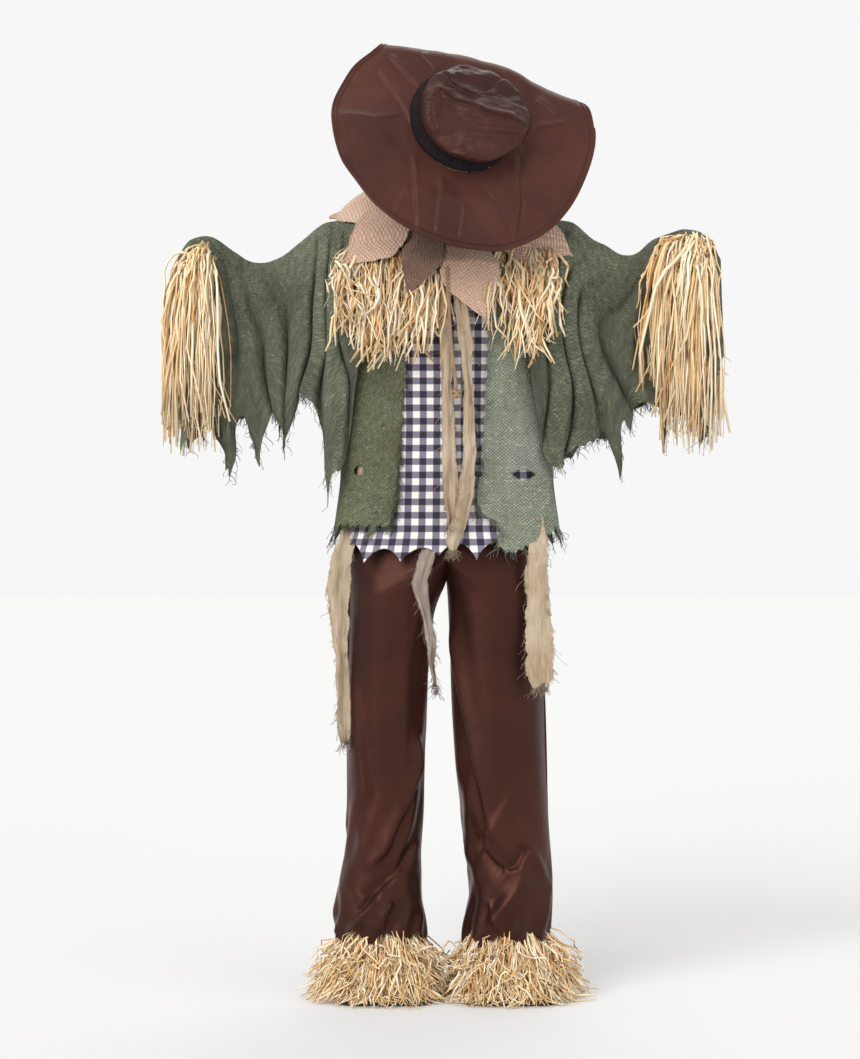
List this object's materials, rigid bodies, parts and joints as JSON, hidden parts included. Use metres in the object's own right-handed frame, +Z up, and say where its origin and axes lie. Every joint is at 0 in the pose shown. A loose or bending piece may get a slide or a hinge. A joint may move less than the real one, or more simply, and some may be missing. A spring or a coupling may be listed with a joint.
{
  "type": "standing scarecrow figure",
  "caption": "Life-size standing scarecrow: steel frame with ragged gauze jacket, gingham shirt, satin trousers, floppy hat and straw hands, feet and collar.",
  "frame": {"origin": "on the floor, at the middle of the underside of the base plate", "axes": "+Z up, the figure faces -Y, and its own left hand is on the +X side"},
  "size_m": [1.104, 0.3837, 1.8167],
  "materials": {
    "steel": "satin",
    "zinc": "satin",
    "black_plastic": "matte",
    "moulded": "matte",
    "stuffing": "matte",
    "hat_satin": "satin",
    "ribbon": "matte",
    "burlap": "matte",
    "straw": "matte",
    "green_gauze": "matte",
    "tan_gauze": "matte",
    "gingham": "matte",
    "brown_satin": "satin",
    "jute": "matte"
  },
  "bodies": {
    "frame": {"base_plate": "steel", "pole_socket_left": "steel", "pole_socket_right": "steel", "leg_pole_lower_left": "steel", "leg_pole_lower_right": "steel", "hip_bracket": "steel", "spine_pole_lower": "steel", "shoulder_bracket": "steel", "leg_pole_upper_left": "zinc", "leg_pole_upper_right": "zinc", "spine_pole_upper": "zinc", "shoulder_bolt_left": "zinc", "shoulder_bolt_right": "zinc", "shoulder_wing_nut_left": "zinc", "shoulder_wing_nut_right": "zinc", "socket_thumbscrew_left": "black_plastic", "socket_thumbscrew_right": "black_plastic", "neck_thumbscrew": "black_plastic", "torso_shell": "moulded", "burlap_collar": "burlap", "neck_straw_left": "straw", "neck_straw_right": "straw", "foot_straw_left": "straw", "foot_straw_right": "straw", "jacket_body": "green_gauze", "front_rag_long": "tan_gauze", "front_rag_short": "tan_gauze", "side_rag_left": "tan_gauze", "side_rag_right": "tan_gauze", "centre_rag": "tan_gauze", "shirt": "gingham", "trousers": "brown_satin", "collar_tie": "jute", "rope_tail": "jute", "ankle_tie_left": "jute", "ankle_tie_right": "jute"},
    "arm_left": {"arm_rod_left": "steel", "arm_end_cap_left": "black_plastic", "hand_tie_left": "jute", "sleeve_left": "green_gauze", "hand_straw_left": "straw"},
    "arm_right": {"arm_rod_right": "steel", "arm_end_cap_right": "black_plastic", "hand_tie_right": "jute", "sleeve_right": "green_gauze", "hand_straw_right": "straw"},
    "neck": {"neck_post": "steel", "neck_bolt": "zinc", "neck_wing_nut": "zinc"},
    "head": {"head_stem": "steel", "head_form": "stuffing", "head_sack": "burlap", "sack_tie": "jute", "hat_crown": "hat_satin", "hat_brim": "hat_satin", "hat_band": "ribbon"},
    "leg_button_left": {"leg_spring_button_left": "zinc"},
    "leg_button_right": {"leg_spring_button_right": "zinc"},
    "spine_button": {"spine_spring_button": "zinc"}
  },
  "joints": [
    {"name": "shoulder_swing_left", "type": "hinge", "parent": "frame", "child": "arm_left", "pos_m": [0.225, 0, 1.436], "axis": [0, 0, -1], "range_deg": [-20, 70]},
    {"name": "shoulder_swing_right", "type": "hinge", "parent": "frame", "child": "arm_right", "pos_m": [-0.225, 0, 1.436], "axis": [0, 0, 1], "range_deg": [-20, 70]},
    {"name": "neck_swivel", "type": "hinge", "parent": "frame", "child": "neck", "pos_m": [0, 0, 1.47], "axis": [0, 0, 1], "range_deg": [-30, 30]},
    {"name": "head_nod", "type": "hinge", "parent": "neck", "child": "head", "pos_m": [0, 0, 1.508], "axis": [-0.9838, -0.179, 0], "range_deg": [-4, 32]},
    {"name": "leg_button_press_left", "type": "slide", "parent": "frame", "child": "leg_button_left", "axis": [-1, 0, 0], "range_m": [0, 0.0035], "stiffness_N_per_m": 1500, "springref_m": -0.001},
    {"name": "leg_button_press_right", "type": "slide", "parent": "frame", "child": "leg_button_right", "axis": [1, 0, 0], "range_m": [0, 0.0035], "stiffness_N_per_m": 1500, "springref_m": -0.001},
    {"name": "spine_button_press", "type": "slide", "parent": "frame", "child": "spine_button", "axis": [0, -1, 0], "range_m": [0, 0.0035], "stiffness_N_per_m": 1500, "springref_m": -0.001}
  ]
}
